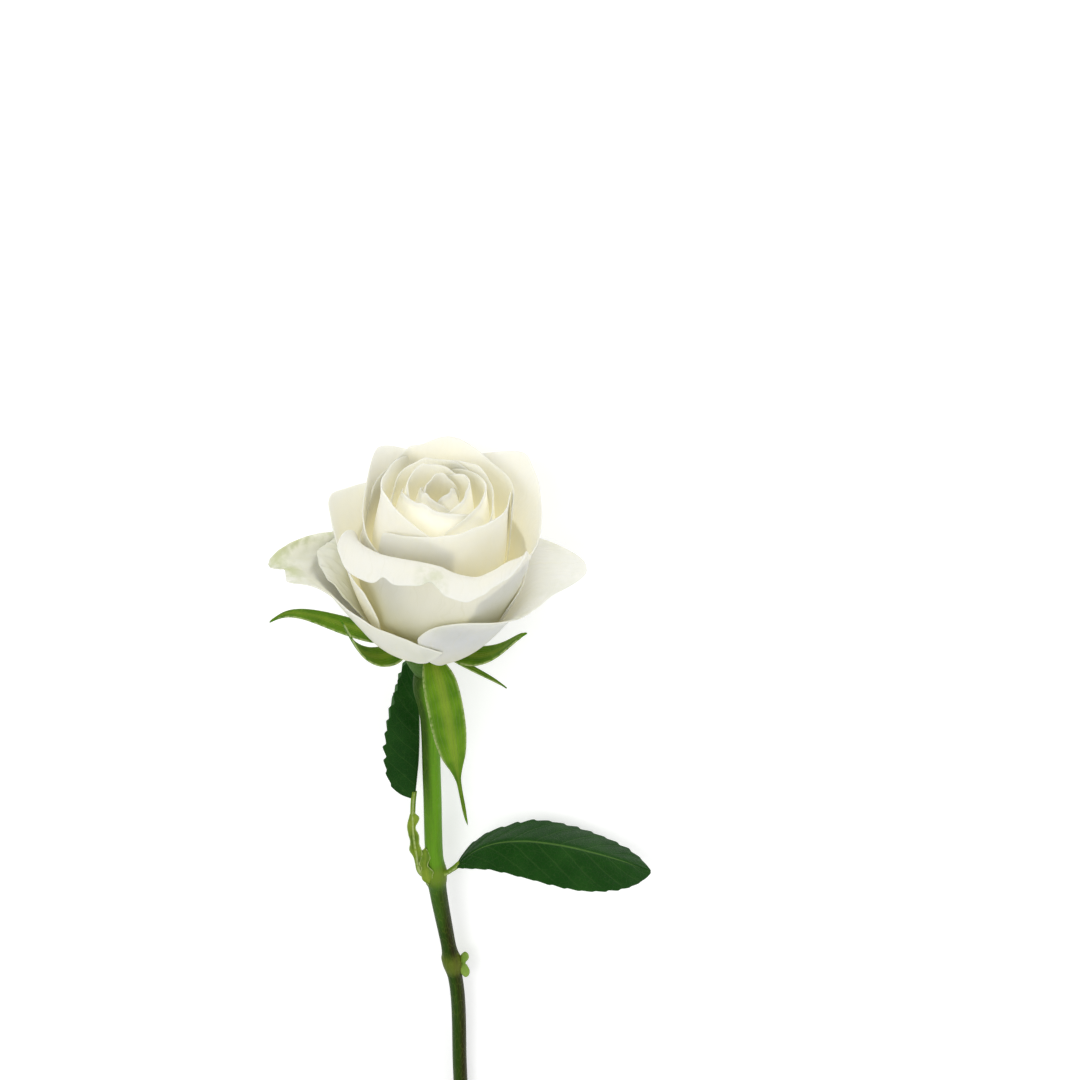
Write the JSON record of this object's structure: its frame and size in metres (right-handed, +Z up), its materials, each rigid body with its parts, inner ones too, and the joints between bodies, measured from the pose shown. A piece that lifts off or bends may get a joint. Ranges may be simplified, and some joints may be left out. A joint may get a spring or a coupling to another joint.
{
  "type": "cut rose",
  "caption": "Cut rose lying on its side: an open creamy white bloom of loose petals, green sepals, a leafy stem and a slanted cut end.",
  "frame": {"origin": "on the surface that the rose lies on, under the middle of its bounding box", "axes": "+X along the stem towards the bloom, +Z up, away from the surface"},
  "size_m": [0.338, 0.123, 0.0772],
  "materials": {
    "petal": "soft matt creamy white petal",
    "guard_petal": "matt greyish white outer petal with a faint green tint",
    "sepal": "matt mid green with a paler downy edge",
    "stem": "smooth green to dark olive bark with a slight sheen",
    "leaf": "satin dark green with paler veins",
    "petiole": "matt yellowish green"
  },
  "bodies": {
    "root": {"heart_petal_1": "petal", "heart_petal_2": "petal", "heart_petal_3": "petal", "heart_petal_4": "petal", "heart_petal_5": "petal", "inner_petal_1": "petal", "inner_petal_2": "petal", "inner_petal_3": "petal", "inner_petal_4": "petal", "cup_petal_left": "petal", "cup_petal_front": "petal", "cup_petal_back": "petal", "wrap_petal_left": "petal", "wrap_petal_right": "petal", "wrap_petal_back": "petal", "lip_petal": "petal", "outer_petal_left": "petal", "outer_petal_right": "petal", "outer_petal_back": "petal", "crumpled_petal": "guard_petal", "guard_petal_right": "guard_petal", "guard_petal_left": "guard_petal", "back_guard_petal_left": "guard_petal", "back_guard_petal_right": "guard_petal", "receptacle": "sepal", "sepal_front": "sepal", "sepal_left": "sepal", "sepal_left_long": "sepal", "sepal_right": "sepal", "sepal_back": "sepal", "stem": "stem", "axil_bud": "sepal", "leaf_right": "leaf", "leaf_left": "leaf", "petiole_right": "petiole", "petiole_left": "petiole"}
  },
  "joints": []
}
